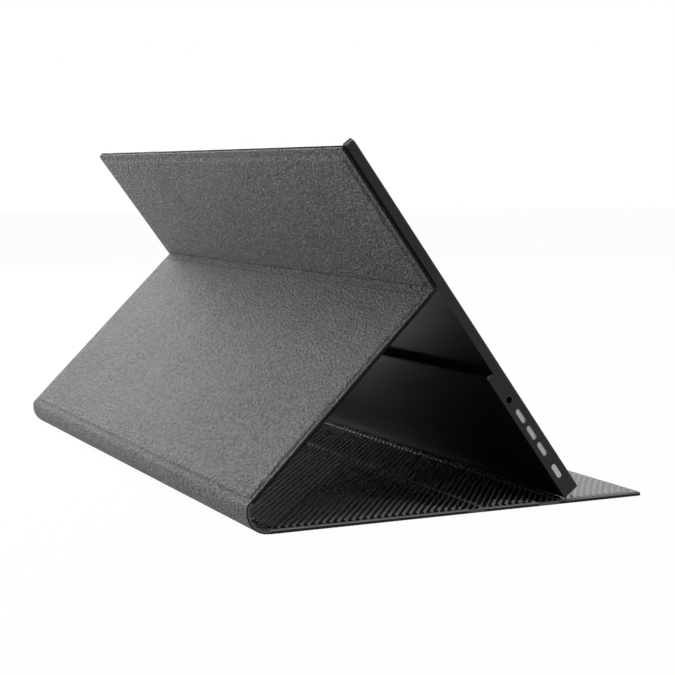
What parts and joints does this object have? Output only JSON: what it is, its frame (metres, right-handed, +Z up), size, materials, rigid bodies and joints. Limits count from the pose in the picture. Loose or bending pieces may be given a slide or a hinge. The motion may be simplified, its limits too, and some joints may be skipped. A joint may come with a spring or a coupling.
{
  "type": "portable monitor with cover",
  "caption": "Slim portable monitor held by magnets in a folding cover that wraps behind it as a tented stand and lies flat in front; sockets and a button on one side.",
  "frame": {"origin": "centre of the footprint, on the table", "axes": "+X along the folds, +Y from the screen towards the back of the stand, +Z up; the sockets are on the -X side"},
  "size_m": [0.356, 0.2216, 0.1802],
  "materials": {
    "cover_sheet": "fine grained, matt",
    "cover_fold": "fine grained, matt, pressed thin",
    "cover_lining": "ribbed, matt",
    "cover_board": "plain stiff board",
    "magnet": "plated",
    "shell": "black anodised, satin",
    "bezel": "satin black",
    "screen_glass": "dark, faint sheen",
    "diffuser": "translucent white sheets",
    "light_guide": "clear sheet",
    "reflector": "white film",
    "tray": "thin plated sheet",
    "pad": "adhesive foam",
    "circuit_board": "solder resist",
    "chip": "moulded",
    "shield": "tinned sheet",
    "screw": "plated",
    "socket_steel": "stamped and plated",
    "socket_insulator": "pale moulding",
    "jack": "moulded",
    "light_pipe": "clear smoke",
    "button": "satin",
    "speaker": "moulded",
    "cable": "flat polyimide"
  },
  "bodies": {
    "front_cover_1": {"front_skin_1": "cover_sheet", "front_board_1": "cover_board", "front_lining_1": "cover_lining", "spine_skin": "cover_sheet", "spine_lining": "cover_lining", "crease_strip_1": "cover_fold"},
    "front_cover_2": {"front_skin_2": "cover_sheet", "front_board_2": "cover_board", "front_lining_2": "cover_lining", "crease_strip_2": "cover_fold"},
    "front_cover_3": {"front_skin_3": "cover_sheet", "front_board_3": "cover_board", "front_lining_3": "cover_lining", "flap_magnets": "magnet"},
    "strut": {"strut_skin": "cover_sheet", "strut_board": "cover_board", "strut_lining": "cover_lining", "back_fold_strip": "cover_fold"},
    "upper_cover": {"upper_skin": "cover_sheet", "upper_board": "cover_board", "upper_lining": "cover_lining", "upper_magnets": "magnet"},
    "monitor": {"rear_shell": "shell", "front_bezel": "bezel", "lcd_panel": "screen_glass", "optical_films": "diffuser", "light_guide": "light_guide", "reflector": "reflector", "led_strip": "circuit_board", "backlight_tray": "tray", "panel_pads": "pad", "monitor_magnets": "magnet", "source_board": "circuit_board", "main_board": "circuit_board", "board_chips": "chip", "shield_can": "shield", "board_screws": "screw", "usb_sockets": "socket_steel", "usb_tongues": "socket_insulator", "audio_jack": "jack", "status_light": "light_pipe", "button_switch": "chip", "speakers": "speaker", "display_cable": "cable"},
    "power_button": {"power_button": "button"}
  },
  "joints": [
    {"name": "strut_fold", "type": "hinge", "parent": "front_cover_1", "child": "strut", "pos_m": [0, 0.10385, 0.005], "axis": [-1, 0, 0], "range_deg": [-10, 18], "deforming": ["spine_skin", "spine_lining"]},
    {"name": "monitor_fold", "type": "hinge", "parent": "strut", "child": "upper_cover", "pos_m": [0, 0.01321, 0.10998], "axis": [-1, 0, 0], "range_deg": [-42, 24], "deforming": ["back_fold_strip"]},
    {"name": "monitor_lift", "type": "slide", "parent": "upper_cover", "child": "monitor", "axis": [0, -0.7986, 0.6018], "range_m": [0, 0.05]},
    {"name": "front_fold_1", "type": "hinge", "parent": "front_cover_1", "child": "front_cover_2", "pos_m": [0, -0.01175, 0.0009], "axis": [1, 0, 0], "range_deg": [0, 90], "deforming": ["crease_strip_1"]},
    {"name": "front_fold_2", "type": "hinge", "parent": "front_cover_2", "child": "front_cover_3", "pos_m": [0, -0.054, 0.0009], "axis": [1, 0, 0], "range_deg": [0, 90], "deforming": ["crease_strip_2"]},
    {"name": "power_button", "type": "slide", "parent": "monitor", "child": "power_button", "axis": [1, 0, 0], "range_m": [0, 0.0004], "stiffness_N_per_m": 1200}
  ],
  "couplings": [
    {"joint": "monitor_fold", "follows": "strut_fold", "ratio": -2.1746}
  ]
}
